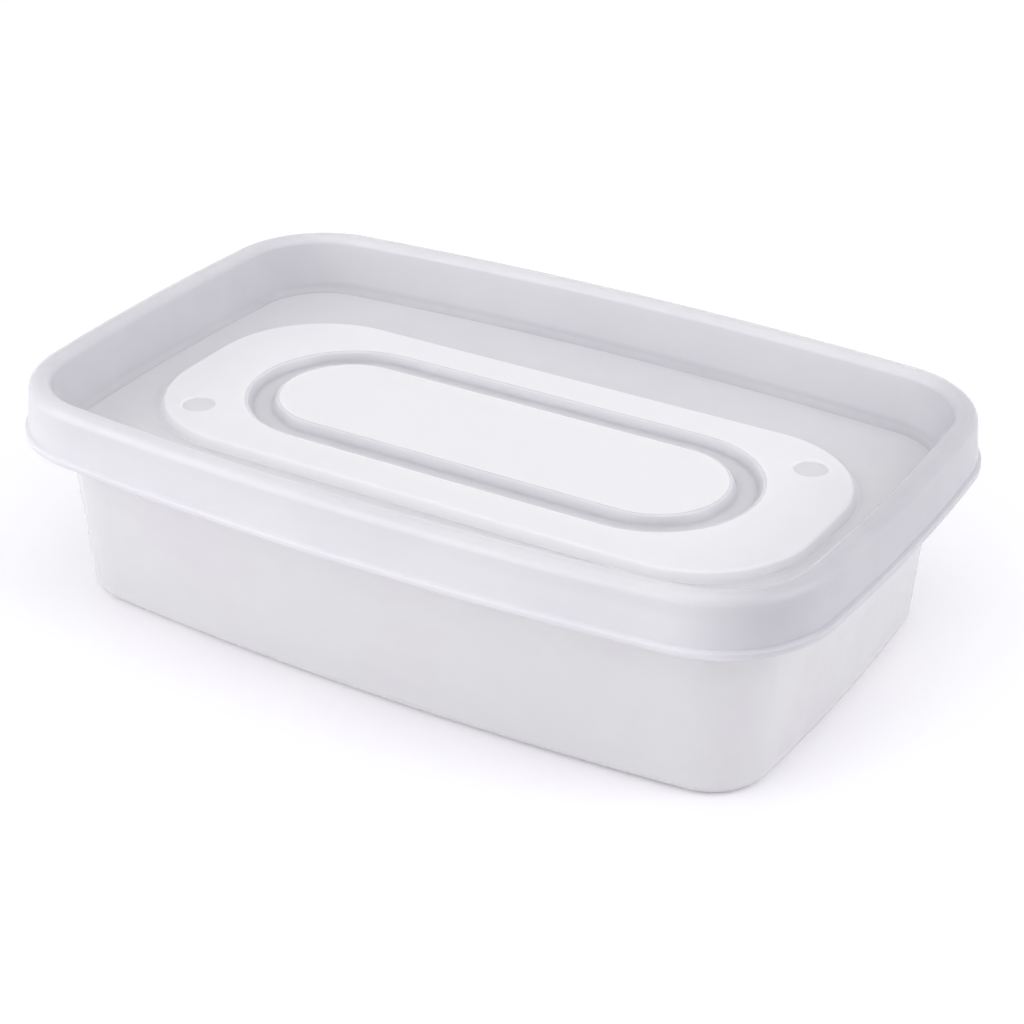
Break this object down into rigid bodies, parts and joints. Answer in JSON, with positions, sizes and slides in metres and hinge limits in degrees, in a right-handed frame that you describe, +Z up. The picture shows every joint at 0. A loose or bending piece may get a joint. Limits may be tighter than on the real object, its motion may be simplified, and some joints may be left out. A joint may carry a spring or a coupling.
{
  "type": "food storage container with lid",
  "caption": "Shut rectangular food container in milky see-through plastic: tapered tub with a stepped shoulder and a deep press-on lid with a raised panel.",
  "frame": {"origin": "middle of the footprint, on the surface the container stands on", "axes": "+X along the length, +Y along the width, +Z up"},
  "size_m": [0.18, 0.116, 0.048],
  "materials": {
    "tub_plastic": "milky see-through polypropylene, smooth with a soft shine",
    "lid_plastic": "milky see-through polypropylene, smooth with a soft shine"
  },
  "bodies": {
    "root": {"tub": "tub_plastic", "lid": "lid_plastic"}
  },
  "joints": []
}
